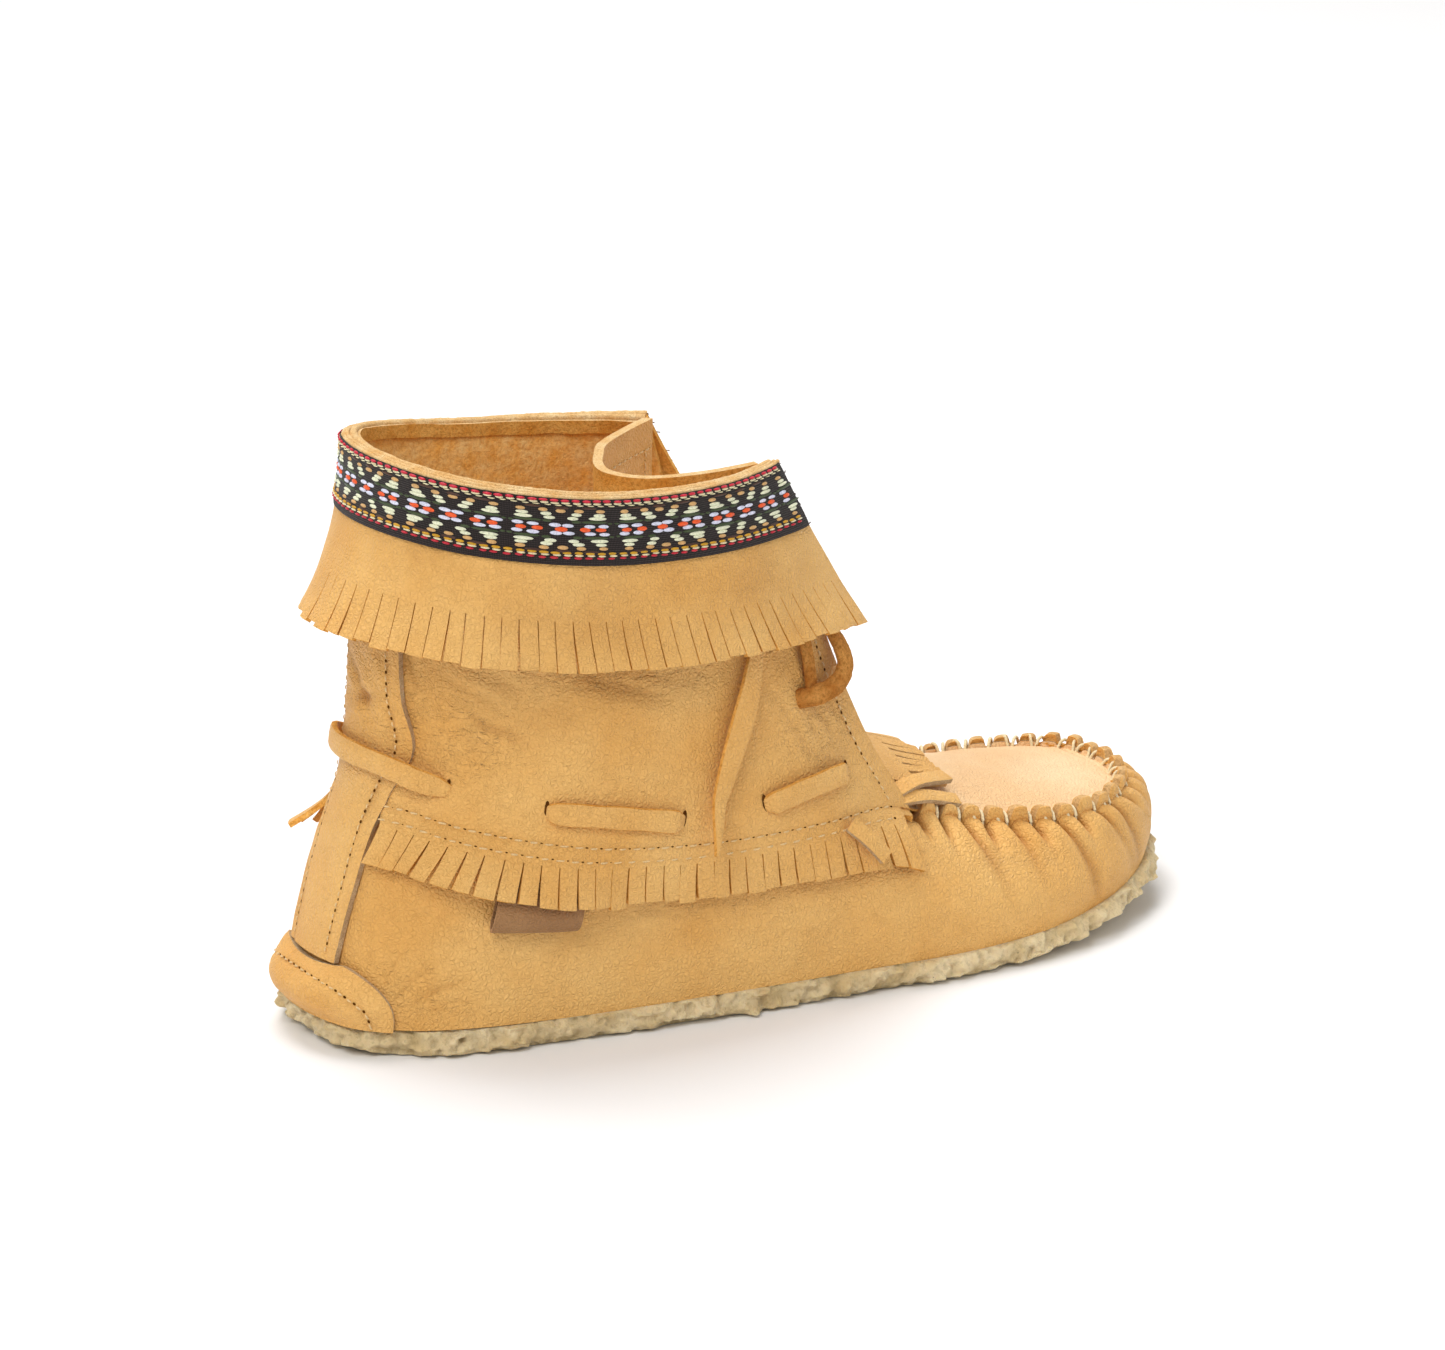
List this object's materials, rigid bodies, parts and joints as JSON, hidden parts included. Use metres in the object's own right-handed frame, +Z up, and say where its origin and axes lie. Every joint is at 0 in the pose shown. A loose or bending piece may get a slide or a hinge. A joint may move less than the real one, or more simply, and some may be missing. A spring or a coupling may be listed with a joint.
{
  "type": "moccasin boot",
  "caption": "Soft fringed moccasin ankle boot for the right foot, with a fold-over cuff, a woven trim, a gathered toe seam and a flat crepe sole.",
  "frame": {"origin": "on the floor, under the middle of the heel, on the flat tread of the outsole", "axes": "+X to the toe, +Y to the inner side of the foot, +Z up"},
  "size_m": [0.2493, 0.0949, 0.1461],
  "materials": {
    "crepe_rubber": "rough natural crepe",
    "insole_suede": "suede",
    "upper_leather": "soft matt grain",
    "woven_trim": "woven",
    "thong_leather": "soft matt grain",
    "lace_suede": "suede",
    "tag_leather": "smooth matt"
  },
  "bodies": {
    "root": {"outsole": "crepe_rubber", "insole": "insole_suede", "upper": "upper_leather", "tongue": "upper_leather", "cuff": "upper_leather", "braid_band": "woven_trim", "back_strip": "upper_leather", "heel_tab": "upper_leather", "side_fringe_outer": "upper_leather", "side_fringe_inner": "upper_leather", "thong_back": "thong_leather", "thong_outer_middle": "thong_leather", "thong_outer_front": "thong_leather", "thong_inner_middle": "thong_leather", "thong_inner_front": "thong_leather", "thong_end": "thong_leather", "suede_lace": "lace_suede", "leather_tag": "tag_leather"}
  },
  "joints": []
}
